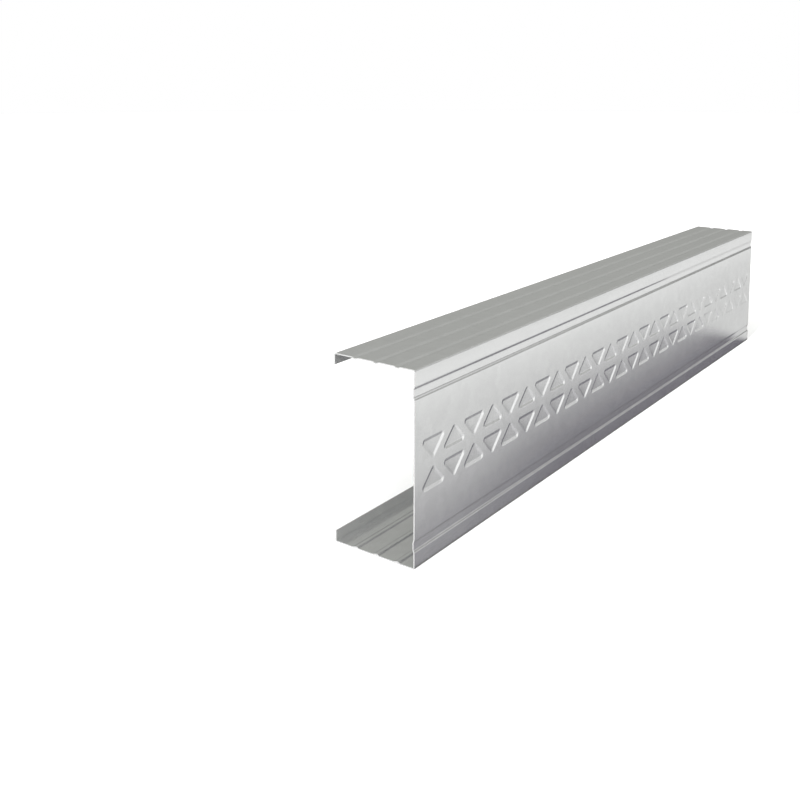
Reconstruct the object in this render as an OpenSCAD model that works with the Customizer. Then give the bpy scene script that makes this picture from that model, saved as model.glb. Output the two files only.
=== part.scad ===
// Drywall stud: a short length of cold-rolled C profile in thin galvanised sheet.
// X runs along the stud, Y from the web to the open side, Z up, with the stud standing on a flange.

/* [Section] */
// Height of the web, outside to outside
web_height = 100; // [75:1:150]
// Width of each flange, outside to outside
flange_width = 50; // [47:1:60]
// Height of each return lip, measured outside
lip_height = 6; // [4:0.5:12]
// Thickness of the sheet
sheet = 0.6; // [0.5:0.05:1]
// Inside radius of the four bends
bend_radius = 0.3; // [0.2:0.1:2]
// Length of the piece
stud_length = 520; // [120:10:1000]

/* [Web beads] */
// Distance from each edge of the web to the middle of its bead
web_bead_inset = 11.7; // [9:0.1:16]
// Width of a web bead at its mouth
web_bead_mouth = 6.4; // [5:0.1:9]
// Width of a web bead at its floor
web_bead_floor = 3.8; // [2:0.1:4.5]
// Depth of a web bead
web_bead_depth = 0.6; // [0.3:0.1:1]

/* [Flange beads] */
// Number of beads along each flange
flange_bead_count = 3; // [1:1:3]
// Distance from the web's outer face to the middle of the first bead
flange_bead_inset = 10.5; // [6:0.5:12]
// Distance between the middles of neighbouring beads
flange_bead_pitch = 13; // [8:0.5:13]
// Width of a flange bead at its mouth
flange_bead_mouth = 3.6; // [2.5:0.1:5]
// Width of a flange bead at its floor
flange_bead_floor = 1.2; // [0.5:0.1:2]
// Depth of a flange bead
flange_bead_depth = 0.6; // [0.3:0.1:1]

/* [Embossed triangles] */
// Distance from the end of the stud to the middle of the first triangle
emboss_start = 16; // [12:0.5:30]
// Distance along a row between triangles that point the same way
emboss_pitch = 37.5; // [37:0.5:60]
// Distance between the middle heights of the two rows
emboss_row_spacing = 15.8; // [14:0.1:22]
// Width of a triangle over its rounded corners, at the web's face
emboss_width = 18.6; // [12:0.1:20]
// Height of a triangle over its rounded corners, at the web's face
emboss_height = 11.1; // [8:0.1:12]
// Radius of a triangle's corners at the web's face
emboss_radius = 2; // [1.7:0.1:2.4]
// Width of the sloped wall round a triangle
emboss_wall = 1.6; // [0.8:0.1:1.6]
// Depth of a triangle
emboss_depth = 0.4; // [0.2:0.05:0.8]

/* [Hidden] */
bend_outer = bend_radius + sheet;
web_beads = [web_bead_inset, web_height - web_bead_inset];
flange_beads = [for (i = [0 : flange_bead_count - 1]) flange_bead_inset + i * flange_bead_pitch];
bend_fn = 48;
corner_steps = 4;
step = emboss_pitch / 2;
emboss_count = floor((stud_length - emboss_start - emboss_width / 2) / step) + 1;

// How far the fold lines of the inner face lie outside those of the outer face,
// so that a wall which falls by depth over run keeps the sheet's thickness
function fold_shift(depth, run) = sheet * tan(atan2(depth, run) / 2);

// Points of one bead in a strip: position along the strip, then depth into the section
function bead_points(middle, mouth, floor, depth, level, shift) = [
    [middle - mouth / 2 - shift, level],
    [middle - floor / 2 - shift, level + depth],
    [middle + floor / 2 + shift, level + depth],
    [middle + mouth / 2 + shift, level]
];

function face_points(from, to, beads, mouth, floor, depth, level, shift) = concat(
    [[from, level]],
    [for (middle = beads) each bead_points(middle, mouth, floor, depth, level, shift)],
    [[to, level]]
);

function reversed(list) = [for (i = [len(list) - 1 : -1 : 0]) list[i]];

// Straight strip of sheet with its beads, from one bend to the next
module strip(from, to, beads, mouth, floor, depth) {
    shift = fold_shift(depth, (mouth - floor) / 2);
    outer = face_points(from, to, beads, mouth, floor, depth, 0, 0);
    inner = face_points(from, to, beads, mouth, floor, depth, sheet, shift);
    polygon(concat(outer, reversed(inner)));
}

// Quarter ring of sheet in the corner at the origin, between the two strips that meet there
module bend() {
    translate([bend_outer, bend_outer])
        difference() {
            circle(r = bend_outer, $fn = bend_fn);
            circle(r = bend_radius, $fn = bend_fn);
            translate([0, -2 * bend_outer])
                square(4 * bend_outer);
            translate([-2 * bend_outer, 0])
                square(4 * bend_outer);
        }
}

module flange_with_lip() {
    bend();
    strip(bend_outer, flange_width - bend_outer, flange_beads,
        flange_bead_mouth, flange_bead_floor, flange_bead_depth);
    translate([flange_width, 0])
        mirror([1, 0])
            bend();
    translate([flange_width - sheet, bend_outer])
        square([sheet, lip_height - bend_outer]);
}

// Section of the stud, with the web's outer face on the vertical axis
module section() {
    mirror([1, -1])
        strip(bend_outer, web_height - bend_outer, web_beads,
            web_bead_mouth, web_bead_floor, web_bead_depth);
    flange_with_lip();
    translate([0, web_height])
        mirror([0, 1])
            flange_with_lip();
}

// Outline of a triangle that points up and is centred on its height:
// arcs of one radius about three corners
function triangle_corners() = let (
    half = emboss_width / 2 - emboss_radius,
    rise = emboss_height / 2 - emboss_radius
) [[-half, -rise], [half, -rise], [0, rise]];

function triangle_outline(radius) = let (
    corners = triangle_corners(),
    lean = atan2(corners[2].y - corners[0].y, -corners[0].x),
    arcs = [[90 + lean, 270], [270, 450 - lean], [90 - lean, 90 + lean]]
) [
    for (c = [0 : 2]) for (s = [0 : corner_steps])
        let (a = arcs[c][0] + (arcs[c][1] - arcs[c][0]) * s / corner_steps)
            corners[c] + radius * [cos(a), sin(a)]
];

// Pressed form of one triangle, from a wide outline at level low to a narrow one at level high
module triangle_form(low, high, wide, narrow) {
    n = 3 * (corner_steps + 1);
    ring = function (radius, level) [for (p = triangle_outline(radius)) [p.x, p.y, level]];
    polyhedron(
        points = concat(ring(wide, low), ring(narrow, high)),
        faces = concat(
            [[for (i = [0 : n - 1]) i]],
            [[for (i = [n - 1 : -1 : 0]) n + i]],
            [for (i = [0 : n - 1]) [i, n + i, n + (i + 1) % n, (i + 1) % n]]
        )
    );
}

// Puts a form at each triangle of the two rows, pressed in from the web's outer face
module at_triangles() {
    for (i = [0 : emboss_count - 1], row = [-1, 1]) {
        points_up = (i % 2 == 0) == (row == -1);
        translate([emboss_start + i * step - stud_length / 2, -flange_width / 2,
                web_height / 2 + row * emboss_row_spacing / 2])
            rotate([-90, 0, 0])
                mirror([0, points_up ? 1 : 0, 0])
                    children();
    }
}

module stud() {
    shift = fold_shift(emboss_depth, emboss_wall);
    overlap = sheet / 2;
    slope = emboss_wall / emboss_depth;
    floor_radius = emboss_radius - emboss_wall;
    color("silver")
        difference() {
            union() {
                translate([-stud_length / 2, -flange_width / 2, 0])
                    rotate([90, 0, 90])
                        linear_extrude(height = stud_length)
                            section();
                at_triangles()
                    triangle_form(sheet - overlap, sheet + emboss_depth,
                        emboss_radius + shift + overlap * slope, floor_radius + shift);
            }
            at_triangles()
                triangle_form(-overlap, emboss_depth,
                    emboss_radius + overlap * slope, floor_radius);
        }
}

stud();
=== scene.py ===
import math

import bmesh
import bpy
from mathutils import Matrix, Vector, geometry


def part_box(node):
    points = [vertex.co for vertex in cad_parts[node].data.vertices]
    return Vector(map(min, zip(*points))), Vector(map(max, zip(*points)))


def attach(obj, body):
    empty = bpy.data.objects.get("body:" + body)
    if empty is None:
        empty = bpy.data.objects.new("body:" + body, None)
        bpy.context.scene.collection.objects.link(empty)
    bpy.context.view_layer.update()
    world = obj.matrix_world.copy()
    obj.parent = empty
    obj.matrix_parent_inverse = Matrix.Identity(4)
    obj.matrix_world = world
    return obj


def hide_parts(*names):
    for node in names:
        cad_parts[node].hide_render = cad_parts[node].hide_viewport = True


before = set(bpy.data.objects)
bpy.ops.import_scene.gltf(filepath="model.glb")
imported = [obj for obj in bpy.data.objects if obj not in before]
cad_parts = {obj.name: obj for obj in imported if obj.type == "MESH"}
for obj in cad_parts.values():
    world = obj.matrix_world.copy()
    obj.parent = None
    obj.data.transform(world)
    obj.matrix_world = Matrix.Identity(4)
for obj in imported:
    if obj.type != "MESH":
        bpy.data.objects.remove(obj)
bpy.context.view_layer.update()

mm = 0.001
leastTurn = 1e-6  # a corner that turns less, in radians, counts as straight
leastArcSteps = 3
print("stud: CAD model loaded")


# Folded sheet

sheetMetal = {
    "thickness": 0.6 * mm,
    "bendRadius": 0.9 * mm,  # outside of the four bends
    "lipHeight": 6 * mm,
    "edgeBreak": 0.07 * mm,  # the small bevel that shearing leaves on a cut edge
    "edgeSlope": 0.7,  # how far that bevel goes in for its length
    "arcStep": math.radians(7.5),
    "smoothUnder": math.radians(32),  # faces that meet at less are shaded as one
}

webBead = {
    "inset": 11.7 * mm,  # from each edge of the web to the bead's middle
    "mouth": 6.4 * mm,
    "floor": 3.8 * mm,
    "depth": 0.6 * mm,
    "mouthRadius": 2.2 * mm,
    "floorRadius": 1.5 * mm,
}

flangeBead = {
    "middles": [10.5 * mm, 23.5 * mm, 36.5 * mm],  # from the web's outer face
    "mouth": 3.6 * mm,
    "floor": 1.2 * mm,
    "depth": 0.6 * mm,
    "mouthRadius": 1.1 * mm,
    "floorRadius": 0.5 * mm,
}

triangles = {
    "start": 16 * mm,  # from the cut end to the middle of the first one
    "step": 18.75 * mm,  # from one to the next, which points the other way
    "rowSpacing": 15.8 * mm,
    "width": 18.6 * mm,
    "height": 11.1 * mm,
    "cornerRadius": 2 * mm,
    "wall": 1.6 * mm,
    "depth": 0.4 * mm,
    "mouthRadius": 1.4 * mm,
    "floorRadius": 1.2 * mm,
    "cornerSteps": 7,
    "arcStep": math.radians(9),  # along the rounded slope of a wall
    "runIn": 1 * mm,  # flat sheet before and after that slope, which sets its first and last turn
    "margin": 3 * mm,  # flat sheet kept round the rows before the long faces start
    "mergeUnder": 1e-7,  # points of the flat sheet that lie closer are one
}


def leftOf(direction):
    return Vector((-direction.y, direction.x))


def turned(vector, angle):
    return Matrix.Rotation(angle, 2) @ vector


# A run of straight lines whose corners are arcs, as points with their left-hand normals
def roundedPath(corners, arcStep):
    points = [Vector(c[:2]) for c in corners]
    first = (points[1] - points[0]).normalized()
    last = (points[-1] - points[-2]).normalized()
    path = [(points[0], leftOf(first))]
    for i in range(1, len(points) - 1):
        arriving = (points[i] - points[i - 1]).normalized()
        leaving = (points[i + 1] - points[i]).normalized()
        turn = math.atan2(arriving.x * leaving.y - arriving.y * leaving.x, arriving.dot(leaving))
        if abs(turn) < leastTurn:
            path.append((points[i], leftOf(arriving)))
            continue
        radius = corners[i][2]
        side = math.copysign(1, turn)
        start = points[i] - arriving * radius * math.tan(abs(turn) / 2)
        centre = start + leftOf(arriving) * side * radius
        steps = max(leastArcSteps, round(abs(turn) / arcStep))
        for k in range(steps + 1):
            normal = turned(leftOf(arriving), turn * k / steps)
            path.append((centre - normal * side * radius, normal))
    path.append((points[-1], leftOf(last)))
    return path


# Corners of the beads in one strip: place along the strip, depth and radius
def beadCorners(bead, middles):
    corners = []
    for middle in middles:
        corners += [
            (middle - bead["mouth"] / 2, 0, bead["mouthRadius"]),
            (middle - bead["floor"] / 2, bead["depth"], bead["floorRadius"]),
            (middle + bead["floor"] / 2, bead["depth"], bead["floorRadius"]),
            (middle + bead["mouth"] / 2, 0, bead["mouthRadius"]),
        ]
    return corners


# Outer face of the section from lip to lip: up the web on the left, flanges below and above
def sectionCorners(lo, hi, band):
    bend = sheetMetal["bendRadius"]
    lip = sheetMetal["lipHeight"] - sheetMetal["edgeBreak"]
    flange = beadCorners(flangeBead, flangeBead["middles"])
    web = beadCorners(webBead, [webBead["inset"], hi.z - lo.z - webBead["inset"]])
    lowBead, highBead = web[:len(web) // 2], web[len(web) // 2:]
    corners = [(hi.y, lo.z + lip), (hi.y, lo.z, bend)]
    corners += [(lo.y + along, lo.z + depth, radius) for along, depth, radius in reversed(flange)]
    corners += [(lo.y, lo.z, bend)]
    corners += [(lo.y + depth, lo.z + along, radius) for along, depth, radius in lowBead]
    corners += [(lo.y, band[0], 0), (lo.y, band[1], 0)]
    corners += [(lo.y + depth, lo.z + along, radius) for along, depth, radius in highBead]
    corners += [(lo.y, hi.z, bend)]
    corners += [(lo.y + along, hi.z - depth, radius) for along, depth, radius in flange]
    corners += [(hi.y, hi.z, bend), (hi.y, hi.z - lip)]
    return corners


# The whole section as one loop: outer face, edge of a lip, inner face, edge of the other lip
def sectionLoop(lo, hi, band):
    outer = roundedPath(sectionCorners(lo, hi, band), sheetMetal["arcStep"])
    thickness, edge = sheetMetal["thickness"], sheetMetal["edgeBreak"]
    inner = [(point - normal * thickness, -normal) for point, normal in outer]

    def slitEdge(outerEnd, innerEnd, outward):
        shift = outward * edge
        across = (innerEnd[0] - outerEnd[0]).normalized() * edge
        return [(outerEnd[0] + shift + across, outward), (innerEnd[0] + shift - across, outward)]

    topEdge = slitEdge(outer[-1], inner[-1], Vector((0, -1)))
    lowEdge = slitEdge(inner[0], outer[0], Vector((0, 1)))
    return outer + topEdge + inner[::-1] + lowEdge, len(outer)


# Rounded triangle about the origin, pointing up, with arcs of one radius about its three corners
def triangleOutline(radius):
    half = triangles["width"] / 2 - triangles["cornerRadius"]
    rise = triangles["height"] / 2 - triangles["cornerRadius"]
    corners = [Vector((-half, -rise)), Vector((half, -rise)), Vector((0, rise))]
    lean = math.atan2(2 * rise, half)
    quarter = math.pi / 2
    arcs = [
        (quarter + lean, 3 * quarter),
        (-quarter, quarter - lean),
        (quarter - lean, quarter + lean),
    ]
    steps = triangles["cornerSteps"]
    outline = []
    for corner, (start, end) in zip(corners, arcs):
        for k in range(steps + 1):
            angle = start + (end - start) * k / steps
            outline.append(corner + Vector((math.cos(angle), math.sin(angle))) * radius)
    return outline


# Slope of a triangle's wall from the flat sheet to its floor: distance in, depth and normal
def wallProfile():
    wall, depth, runIn = triangles["wall"], triangles["depth"], triangles["runIn"]
    corners = [
        (-runIn, 0),
        (0, 0, triangles["mouthRadius"]),
        (wall, -depth, triangles["floorRadius"]),
        (wall + runIn, -depth),
    ]
    return roundedPath(corners, triangles["arcStep"])[1:-1]


# Middle of each triangle in both rows, with 1 where it points up and -1 where it points down
def triangleCentres(lo, hi):
    centres = []
    middle = (lo.z + hi.z) / 2
    room = hi.x - lo.x - triangles["start"] - triangles["width"] / 2
    for i in range(int(room / triangles["step"]) + 1):
        for row in (-1, 1):
            pointsUp = (i % 2 == 0) == (row == -1)
            x = lo.x + triangles["start"] + i * triangles["step"]
            centres.append((x, middle + row * triangles["rowSpacing"] / 2, 1 if pointsUp else -1))
    return centres


# Flat sheet between two edge rows of points with the outlines of the triangles left open
def fillAround(bm, low, high, outlines, centres, openingRadius):
    border = low + high[::-1]
    points = border + [v for outline in outlines for v in outline]
    edges = []
    start = 0
    for loop in [border] + outlines:
        edges += [(start + i, start + (i + 1) % len(loop)) for i in range(len(loop))]
        start += len(loop)
    flat = [Vector((v.co.x, v.co.z)) for v in points]
    filled = geometry.delaunay_2d_cdt(flat, edges, [], 1, triangles["mergeUnder"], True)
    corners, faces, sources = filled[0], filled[2], filled[3]
    opening = triangleOutline(openingRadius)
    for face in faces:
        middle = sum((Vector(corners[i]) for i in face), Vector((0, 0))) / len(face)
        if not any(insideOutline(middle, centre, opening) for centre in centres):
            bm.faces.new([points[sources[i][0]] for i in face])


# Whether a point lies inside an outline that is moved to a centre and turned to point its way
def insideOutline(point, centre, outline):
    local = Vector((point.x - centre[0], (point.y - centre[1]) * centre[2]))
    if abs(local.x) > triangles["width"] or abs(local.y) > triangles["height"]:
        return False
    count = len(outline)
    return all(
        (outline[(i + 1) % count] - outline[i]).cross(local - outline[i]) > 0 for i in range(count)
    )


# Rings of a pressed triangle on one face of the sheet, and its floor
def pressTriangle(bm, centre, faceY, profile, offset):
    x, z, up = centre
    rings = []
    for point, normal in profile:
        radius = triangles["cornerRadius"] - point.x + normal.x * offset
        depth = -point.y + normal.y * offset
        outline = triangleOutline(radius)
        rings.append([bm.verts.new((x + p.x, faceY + depth, z + up * p.y)) for p in outline])
    count = len(rings[0])
    for ring, nextRing in zip(rings, rings[1:]):
        for i in range(count):
            j = (i + 1) % count
            bm.faces.new([ring[i], ring[j], nextRing[j], nextRing[i]])
    bm.faces.new(rings[-1])
    return rings[0]


# Index of the inner face's point that lies behind a point of the outer face
def loopPartner(index, outerCount):
    return 2 * outerCount + 1 - index


# The stud's sheet: the section along its length, with the pressed triangles set into the web
def makeSheet(name, lo, hi):
    centres = triangleCentres(lo, hi)
    middle = (lo.z + hi.z) / 2
    reach = (triangles["rowSpacing"] + triangles["height"]) / 2 + triangles["margin"]
    band = (middle - reach, middle + reach)
    loop, outerCount = sectionLoop(lo, hi, band)
    edge = sheetMetal["edgeBreak"]
    columns = sorted({c[0] for c in centres})
    half = triangles["step"] / 2
    inside = [lo.x + edge] + [x + half for x in columns[:-1]] + [hi.x - edge]
    bm = bmesh.new()

    def station(x, shrink):
        return [bm.verts.new((x, p.x - n.x * shrink, p.y - n.y * shrink)) for p, n in loop]

    shrink = edge * sheetMetal["edgeSlope"]
    rows = [station(lo.x, shrink)] + [station(x, 0) for x in inside] + [station(hi.x, shrink)]
    count = len(loop)
    heights = [abs(p.y - band[0]) for p, n in loop[:outerCount]]
    bandStart = heights.index(min(heights))
    innerStart = loopPartner(bandStart + 1, outerCount)
    for k in range(len(rows) - 1):
        for j in range(count):
            if 0 < k < len(rows) - 2 and j in (bandStart, innerStart):
                continue
            m = (j + 1) % count
            bm.faces.new([rows[k][j], rows[k][m], rows[k + 1][m], rows[k + 1][j]])

    profile = wallProfile()
    for faceY, offset, first in ((lo.y, 0, bandStart), (lo.y, sheetMetal["thickness"], innerStart)):
        outlines = [pressTriangle(bm, centre, faceY, profile, offset) for centre in centres]
        near = [row[first] for row in rows[1:-1]]
        far = [row[first + 1] for row in rows[1:-1]]
        fillAround(bm, near, far, outlines, centres, triangles["cornerRadius"] - profile[0][0].x)

    cutFaces = []
    for row in (rows[0], rows[-1]):
        for j in range(outerCount - 1):
            a, b = loopPartner(j, outerCount), loopPartner(j + 1, outerCount)
            cutFaces.append(bm.faces.new([row[j], row[j + 1], row[b], row[a]]))
        cutFaces.append(bm.faces.new([row[outerCount - 1 + i] for i in range(4)]))
        cutFaces.append(bm.faces.new([row[-2], row[-1], row[0], row[-3]]))
    for face in cutFaces:
        face.material_index = 1  # bare steel
    bmesh.ops.recalc_face_normals(bm, faces=bm.faces)
    mesh = bpy.data.meshes.new(name)
    bm.to_mesh(mesh)
    bm.free()
    return mesh


def smoothAcrossBends(piece):
    piece.data.shade_smooth()
    piece.data.set_sharp_from_angle(angle=sheetMetal["smoothUnder"])
    shading = piece.modifiers.new("evenShading", "WEIGHTED_NORMAL")
    shading.keep_sharp = True
    bpy.context.view_layer.objects.active = piece
    bpy.ops.object.modifier_apply(modifier=shading.name)


# Zinc finishes

zincFinish = {
    "colour": (0.73, 0.735, 0.735, 1),
    "roughness": 0.165,
    "metallic": 0.87,
    "roughnessChange": 0.02,  # by crystal, by streak and by cloud
    "crystalSize": 5 * mm,
    "crystalContrast": 0.03,
    "wanderScale": 2.2,  # how closely the crystals' borders wander
    "wanderWidth": 0.9,  # how far, in crystals
    "wanderDetail": 3.0,
    "streakWidth": 0.8 * mm,
    "streakLength": 120 * mm,
    "streakDetail": 3.0,
    "streakHeight": 0.0015 * mm,
    "streakStrength": 0.4,
    "cloudScale": (14, 30, 30),  # for each metre
    "cloudDetail": 4.0,
    "cloudTone": (0.98, 1.02),
    "waveLength": 90 * mm,
    "waveStretch": 2,  # along the stud
    "waveHeight": 0.05 * mm,
    "waveDetail": 1.0,
    "grainSize": 0.35 * mm,
    "grainHeight": 0.001 * mm,
    "grainStrength": 0.25,
    "grainDetail": 2.0,
}

cutEdgeFinish = {
    "colour": (0.2, 0.2, 0.2, 1),
    "metallic": 0.6,
    "roughness": (0.4, 0.6),
    "tearSize": 0.12 * mm,  # of the fine marks that shearing leaves
    "tearDepth": 0.01 * mm,
    "tearStrength": 0.5,
    "tearDetail": 2.0,
}

noiseRange = (0.3, 0.7)  # most values of a noise lie between these
noiseRoughness = 0.55


def newMaterial(name):
    material = bpy.data.materials.new(name)
    material.use_nodes = True
    nodes = material.node_tree.nodes
    return material, material.node_tree, nodes["Principled BSDF"]


def addNode(tree, kind, **settings):
    node = tree.nodes.new(kind)
    for key, value in settings.items():
        if key in node.inputs:
            node.inputs[key].default_value = value
        else:
            setattr(node, key, value)
    return node


def mapped(tree, scale):
    place = addNode(tree, "ShaderNodeTexCoord")
    mapping = addNode(tree, "ShaderNodeMapping", Scale=scale)
    tree.links.new(place.outputs["Object"], mapping.inputs["Vector"])
    return mapping.outputs["Vector"]


def noiseOf(tree, scale, detail):
    noise = addNode(tree, "ShaderNodeTexNoise", Scale=1.0, Detail=detail, Roughness=noiseRoughness)
    tree.links.new(mapped(tree, scale), noise.inputs["Vector"])
    return noise.outputs["Fac"]


def ranged(tree, source, low, high, fromLow=0.0, fromHigh=1.0):
    spread = addNode(tree, "ShaderNodeMapRange")
    spread.inputs["From Min"].default_value = fromLow
    spread.inputs["From Max"].default_value = fromHigh
    spread.inputs["To Min"].default_value = low
    spread.inputs["To Max"].default_value = high
    tree.links.new(source, spread.inputs["Value"])
    return spread.outputs["Result"]


# As ranged, but clamped and with soft ends
def eased(tree, source, low, high, fromLow, fromHigh):
    result = ranged(tree, source, low, high, fromLow, fromHigh)
    result.node.interpolation_type = "SMOOTHSTEP"
    return result


def maths(tree, operation, first, second):
    node = addNode(tree, "ShaderNodeMath", operation=operation)
    for socket, value in zip(node.inputs, (first, second)):
        if isinstance(value, (int, float)):
            socket.default_value = value
        else:
            tree.links.new(value, socket)
    return node.outputs["Value"]


# Mix of two colours: the colour sockets are the seventh and eighth in, and the third out
def blended(tree, first, second, factor, blend="MIX"):
    node = addNode(tree, "ShaderNodeMix", data_type="RGBA", blend_type=blend)
    sockets = (node.inputs["Factor"], node.inputs[6], node.inputs[7])
    for socket, value in zip(sockets, (factor, first, second)):
        if isinstance(value, bpy.types.NodeSocket):
            tree.links.new(value, socket)
        else:
            socket.default_value = value
    return node.outputs[2]


def bumped(tree, height, distance, strength, under=None):
    bump = addNode(tree, "ShaderNodeBump", Distance=distance, Strength=strength)
    tree.links.new(height, bump.inputs["Height"])
    if under is not None:
        tree.links.new(under, bump.inputs["Normal"])
    return bump.outputs["Normal"]


# Tone of each zinc crystal, whose borders wander
def crystalTones(tree, look):
    place = mapped(tree, (1 / look["crystalSize"],) * 3)
    wander = addNode(
        tree, "ShaderNodeTexNoise", Scale=look["wanderScale"], Detail=look["wanderDetail"]
    )
    shifted = addNode(tree, "ShaderNodeVectorMath", operation="MULTIPLY_ADD")
    shifted.inputs[1].default_value = (look["wanderWidth"],) * 3
    crystals = addNode(tree, "ShaderNodeTexVoronoi", Scale=1.0)
    tone = addNode(tree, "ShaderNodeRGBToBW")
    tree.links.new(place, wander.inputs["Vector"])
    tree.links.new(wander.outputs["Color"], shifted.inputs[0])
    tree.links.new(place, shifted.inputs[2])
    tree.links.new(shifted.outputs["Vector"], crystals.inputs["Vector"])
    tree.links.new(crystals.outputs["Color"], tone.inputs["Color"])
    return tone.outputs["Val"]


def zincMaterial():
    material, tree, shader = newMaterial("galvanisedZinc")
    look = zincFinish
    crystals = crystalTones(tree, look)
    across = 1 / look["streakWidth"]
    streaks = noiseOf(tree, (1 / look["streakLength"], across, across), look["streakDetail"])
    clouds = noiseOf(tree, look["cloudScale"], look["cloudDetail"])
    grain = noiseOf(tree, (1 / look["grainSize"],) * 3, look["grainDetail"])
    across = 1 / look["waveLength"]
    waves = noiseOf(tree, (across / look["waveStretch"], across, across), look["waveDetail"])

    contrast = look["crystalContrast"]
    tone = ranged(tree, crystals, 1 - contrast, 1 + contrast)
    tone = maths(tree, "MULTIPLY", tone, ranged(tree, clouds, *look["cloudTone"], *noiseRange))
    colour = blended(tree, look["colour"], tone, 1.0, "MULTIPLY")
    tree.links.new(colour, shader.inputs["Base Color"])

    change = look["roughnessChange"]
    rough = ranged(tree, crystals, -change, change)
    for noise in (streaks, clouds):
        rough = maths(tree, "ADD", rough, ranged(tree, noise, -change, change, *noiseRange))
    rough = maths(tree, "ADD", rough, look["roughness"])
    tree.links.new(rough, shader.inputs["Roughness"])

    normal = bumped(tree, waves, look["waveHeight"], 1.0)
    normal = bumped(tree, streaks, look["streakHeight"], look["streakStrength"], normal)
    normal = bumped(tree, grain, look["grainHeight"], look["grainStrength"], normal)
    tree.links.new(normal, shader.inputs["Normal"])
    shader.inputs["Metallic"].default_value = look["metallic"]
    return material


def cutEdgeMaterial():
    material, tree, shader = newMaterial("shearedSteelEdge")
    look = cutEdgeFinish
    tears = noiseOf(tree, (1 / look["tearSize"],) * 3, look["tearDetail"])
    rough = ranged(tree, tears, *look["roughness"], *noiseRange)
    tree.links.new(rough, shader.inputs["Roughness"])
    normal = bumped(tree, tears, look["tearDepth"], look["tearStrength"])
    tree.links.new(normal, shader.inputs["Normal"])
    shader.inputs["Base Color"].default_value = look["colour"]
    shader.inputs["Metallic"].default_value = look["metallic"]
    return material


lo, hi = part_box("stud")
studSheet = bpy.data.objects.new("studSheet", makeSheet("studSheet", lo, hi))
bpy.context.scene.collection.objects.link(studSheet)
studSheet.data.materials.append(zincMaterial())
studSheet.data.materials.append(cutEdgeMaterial())
smoothAcrossBends(studSheet)
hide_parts("stud")
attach(studSheet, "root")
print("stud: folded sheet made,", len(studSheet.data.polygons), "faces")


# Studio

studio = {
    "floorSize": 12.0,
    "floorTone": 0.95,
    "floorRoughness": 0.9,
    "floorShine": 0.1,
    "wallRadius": 5.9,
    "wallHeight": 6.0,
    "wallSides": 96,
    "wallSink": 0.01,  # how far it reaches below the floor
    "darkSide": (0.36, 0.365, 0.345, 1),  # most of the room
    "lowSide": (0.44, 0.44, 0.43, 1),  # below the horizon
    "lowUntil": (-0.05, 0.02),  # where it ends, as the sine of the angle above the horizon
    "lowWall": (0.15, 0.15, 0.147, 1),  # just above the horizon
    "lowWallUntil": (0.09, 0.13),
    "window": (0.88, 0.88, 0.88, 1),  # a window's light on the far floor
    "windowFrom": (0.342, -0.94, 0),
    "windowAcross": (0.876, 0.9),  # cosine of the angle from windowFrom
    "haze": (0.65, 0.65, 0.645, 1),  # pale patch of wall
    "hazeFrom": (0.757, -0.592, 0.276),
    "hazeAcross": (0.978, 0.996),
    "overheadFrom": (-0.3, -0.5, 1),
    "overheadStrength": 2.8,
    "overheadSoftness": math.radians(90),
    "sideFrom": (-1, -0.072, 0.045),
    "sideStrength": 31.0,
    "sideSoftness": math.radians(5),
}

# Glowing card that only the sheet mirrors, in place of the floor: a pale glow with painted shade of
# the stud along its web.
# The pairs that end in Across are metres from the web's outer face.
shade = {
    "below": 0.1 * mm,  # the floor that the camera sees
    "foot": (0.66, 0.66, 0.655, 1),  # painted shade on the floor near the web
    "pale": (1.0, 1.0, 0.995, 1),
    "paleAcross": (0.105, 0.18),
    "endAcross": (0.19, 0.212),  # where the floor gives way to the room
    "dark": (0.035, 0.025, 0.055, 1),  # painted shade of the stud
    "paintedLipSideShade": (0.15, 0.15, 0.15, 1),  # painted shade on the side that the lips face
    "paintedLipSideShadeAcross": (-0.09, -0.03),
    "behindAcross": (-0.02, 0.0),  # where the painted shade fades under the stud
    "paintedContactShadow": (0.0, 0.0, 0.0, 1),  # painted contact shadow right at the web's foot
    "paintedContactShadowAcross": (0.0005, 0.003),
    "width": 0.112,  # from the web to where the shade has faded out
    "nearWidth": 0.086,
    "farSlant": 0.3,  # how much farther the shade reaches for each metre away from the web
    "farSharp": 0.015,  # softness of its far end at the web
    "farSoft": 1.2,  # softening for each metre away from the web
    "farFade": (-0.6, 0.6),  # around that end, in widths of its softness
    "nearFade": (0.0, 0.17),  # along the stud from the near end
    "nearSlant": 1.4,  # how much later it starts for each metre away from the web
    "nearStrength": 0.78,
}


def squarePlane(name, half, z):
    corners = [(-half, -half, z), (half, -half, z), (half, half, z), (-half, half, z)]
    mesh = bpy.data.meshes.new(name)
    mesh.from_pydata(corners, [], [(0, 1, 2, 3)])
    plane = bpy.data.objects.new(name, mesh)
    bpy.context.scene.collection.objects.link(plane)
    return plane


def showOnlyTo(piece, *rays):
    for ray in ("camera", "diffuse", "glossy", "transmission", "volume_scatter", "shadow"):
        setattr(piece, "visible_" + ray, ray in rays)


def makeFloor():
    floor = squarePlane("paleFloor", studio["floorSize"] / 2, 0)
    material, _, shader = newMaterial("paleFloor")
    tone = studio["floorTone"]
    shader.inputs["Base Color"].default_value = (tone, tone, tone, 1)
    shader.inputs["Roughness"].default_value = studio["floorRoughness"]
    shader.inputs["Specular IOR Level"].default_value = studio["floorShine"]
    floor.data.materials.append(material)
    showOnlyTo(floor, "camera", "diffuse", "shadow")


def glowMaterial(name):
    material = bpy.data.materials.new(name)
    material.use_nodes = True
    tree = material.node_tree
    tree.nodes.clear()
    glow = addNode(tree, "ShaderNodeEmission", Color=(1, 1, 1, 1), Strength=1.0)
    output = addNode(tree, "ShaderNodeOutputMaterial")
    tree.links.new(glow.outputs["Emission"], output.inputs["Surface"])
    return material, tree, glow
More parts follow.
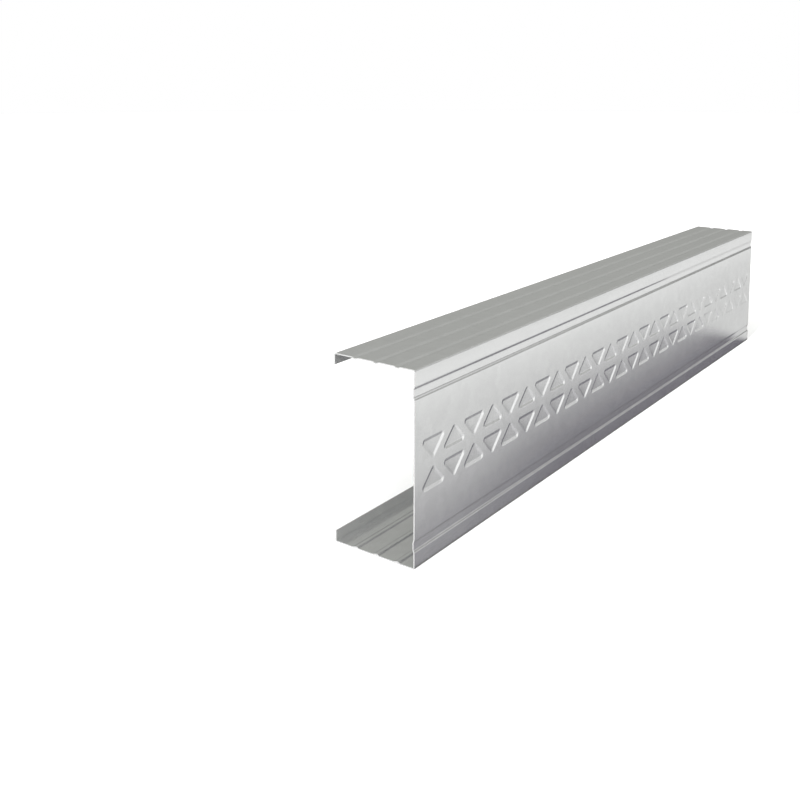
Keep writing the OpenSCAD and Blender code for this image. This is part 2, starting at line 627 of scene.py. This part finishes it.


# Strength of the painted shade at a place on the glowing card, from its distance to the web and to
# the near end
def shadeStrength(tree, away, along, length, behind):
    lag = maths(tree, "MULTIPLY", away, shade["nearSlant"])
    inside = maths(tree, "SUBTRACT", along, lag)
    reach = eased(tree, inside, shade["nearWidth"], shade["width"], *shade["nearFade"])
    fade = eased(tree, maths(tree, "DIVIDE", away, reach), 1.0, 0.0, 0.0, 1.0)
    pastEnd = maths(tree, "SUBTRACT", along, length)
    lead = maths(tree, "MULTIPLY", away, shade["farSlant"])
    pastEnd = maths(tree, "SUBTRACT", pastEnd, lead)
    softness = maths(tree, "MULTIPLY", away, shade["farSoft"])
    softness = maths(tree, "ADD", softness, shade["farSharp"])
    far = eased(tree, maths(tree, "DIVIDE", pastEnd, softness), 1.0, 0.0, *shade["farFade"])
    near = eased(tree, inside, shade["nearStrength"], 1.0, *shade["nearFade"])
    across = maths(tree, "MULTIPLY", fade, behind)
    return maths(tree, "MULTIPLY", across, maths(tree, "MULTIPLY", far, near))


# Glowing card that only the sheet mirrors, in place of the floor, with painted shade on it and the
# room showing beyond its end
def makePaintedFloorReflection(lo, hi):
    card = squarePlane("paintedFloorReflection", studio["floorSize"] / 2, -shade["below"])
    material, tree, glow = glowMaterial("paintedFloorReflection")
    place = addNode(tree, "ShaderNodeTexCoord")
    split = addNode(tree, "ShaderNodeSeparateXYZ")
    tree.links.new(place.outputs["Object"], split.inputs["Vector"])
    away = maths(tree, "SUBTRACT", lo.y, split.outputs["Y"])  # from the web's outer face
    along = maths(tree, "SUBTRACT", split.outputs["X"], lo.x)  # from the near end
    behind = eased(tree, away, 0.0, 1.0, *shade["behindAcross"])
    # how dark the painted shade of the stud is here
    depth = shadeStrength(tree, away, along, hi.x - lo.x, behind)
    pale = eased(tree, away, 0.0, 1.0, *shade["paleAcross"])
    # painted shade on the side that the lips face
    paintedLipSideShade = eased(tree, away, 1.0, 0.0, *shade["paintedLipSideShadeAcross"])
    # painted contact shadow right at the web's foot
    paintedContactShadow = eased(tree, away, 1.0, 0.0, *shade["paintedContactShadowAcross"])
    paintedContactShadow = maths(tree, "MULTIPLY", paintedContactShadow, behind)
    # pale glow of the card, darkened below by painted shade
    colour = blended(tree, shade["foot"], shade["pale"], pale)
    colour = blended(tree, colour, shade["dark"], depth)
    colour = blended(tree, colour, shade["paintedLipSideShade"], paintedLipSideShade)
    colour = blended(tree, colour, shade["paintedContactShadow"], paintedContactShadow)
    tree.links.new(colour, glow.inputs["Color"])
    clear = addNode(tree, "ShaderNodeBsdfTransparent")
    ending = addNode(tree, "ShaderNodeMixShader")
    end = eased(tree, away, 0.0, 1.0, *shade["endAcross"])
    tree.links.new(end, ending.inputs["Fac"])
    tree.links.new(glow.outputs["Emission"], ending.inputs[1])
    tree.links.new(clear.outputs["BSDF"], ending.inputs[2])
    tree.links.new(ending.outputs["Shader"], tree.nodes["Material Output"].inputs["Surface"])
    card.data.materials.append(material)
    showOnlyTo(card, "glossy")


# Plain white wall all round, which only the camera sees, so that it doesn't stop the sky's light
def makeWall():
    radius, height = studio["wallRadius"], studio["wallHeight"]
    bm = bmesh.new()
    bmesh.ops.create_cone(
        bm, segments=studio["wallSides"], radius1=radius, radius2=radius, depth=height
    )
    wall = bpy.data.objects.new("whiteWall", bpy.data.meshes.new("whiteWall"))
    bm.to_mesh(wall.data)
    bm.free()
    wall.location.z = height / 2 - studio["wallSink"]
    bpy.context.scene.collection.objects.link(wall)
    wall.data.materials.append(glowMaterial("whiteWall")[0])
    showOnlyTo(wall, "camera")


# Soft light from all round: the low side, the low wall, the rest of the room and two bright parts
def makeSky():
    world = bpy.data.worlds.new("softSky")
    bpy.context.scene.world = world
    world.use_nodes = True
    tree = world.node_tree
    place = addNode(tree, "ShaderNodeTexCoord").outputs["Generated"]
    height = addNode(tree, "ShaderNodeSeparateXYZ")
    tree.links.new(place, height.inputs["Vector"])
    above = eased(tree, height.outputs["Z"], 0.0, 1.0, *studio["lowUntil"])
    below = eased(tree, height.outputs["Z"], 1.0, 0.0, *studio["lowUntil"])
    higher = eased(tree, height.outputs["Z"], 0.0, 1.0, *studio["lowWallUntil"])
    colour = blended(tree, studio["lowSide"], studio["lowWall"], above)
    colour = blended(tree, colour, studio["darkSide"], higher)
    for light in ("haze", "window"):
        facing = addNode(tree, "ShaderNodeVectorMath", operation="DOT_PRODUCT")
        facing.inputs[1].default_value = Vector(studio[light + "From"]).normalized()
        tree.links.new(place, facing.inputs[0])
        strength = eased(tree, facing.outputs["Value"], 0.0, 1.0, *studio[light + "Across"])
        if light == "window":
            strength = maths(tree, "MULTIPLY", strength, below)
        colour = blended(tree, colour, studio[light], strength)
    tree.links.new(colour, tree.nodes["Background"].inputs["Color"])


# Soft lamps that the sheet doesn't mirror: one overhead, and one that grazes the web from its
# near end
def makeLamp(which):
    data = bpy.data.lights.new(which + "Lamp", "SUN")
    data.energy = studio[which + "Strength"]
    data.angle = studio[which + "Softness"]
    lamp = bpy.data.objects.new(which + "Lamp", data)
    lamp.rotation_euler = Vector(studio[which + "From"]).to_track_quat("Z", "Y").to_euler()
    lamp.visible_glossy = False
    bpy.context.scene.collection.objects.link(lamp)


makeFloor()
makePaintedFloorReflection(lo, hi)
makeWall()
makeSky()
makeLamp("overhead")
makeLamp("side")
bpy.context.scene.view_settings.view_transform = "Standard"
print("stud: studio ready")


# Camera

cameraView = {
    "place": (-0.62674, -0.28701, 0.23827),
    "tilt": -7.0,  # degrees below level
    "heading": 36.429,  # degrees from the stud's length towards its open side
    "focalPixels": 980.82,  # of a picture 800 pixels wide
    "pictureWidth": 800,
    "shiftY": -0.2546,
    "sensorWidth": 36,
    "seenFrom": 0.01,  # the nearest distance that the camera sees
}


def makeCamera():
    data = bpy.data.cameras.new("studioCamera")
    data.sensor_width = cameraView["sensorWidth"]
    data.lens = cameraView["focalPixels"] / cameraView["pictureWidth"] * data.sensor_width
    data.shift_y = cameraView["shiftY"]
    data.clip_start = cameraView["seenFrom"]
    camera = bpy.data.objects.new("studioCamera", data)
    camera.location = cameraView["place"]
    camera.rotation_euler = (
        math.radians(90 + cameraView["tilt"]),
        0,
        math.radians(cameraView["heading"] - 90),
    )
    bpy.context.scene.collection.objects.link(camera)
    bpy.context.scene.camera = camera


makeCamera()
print("stud: camera set")
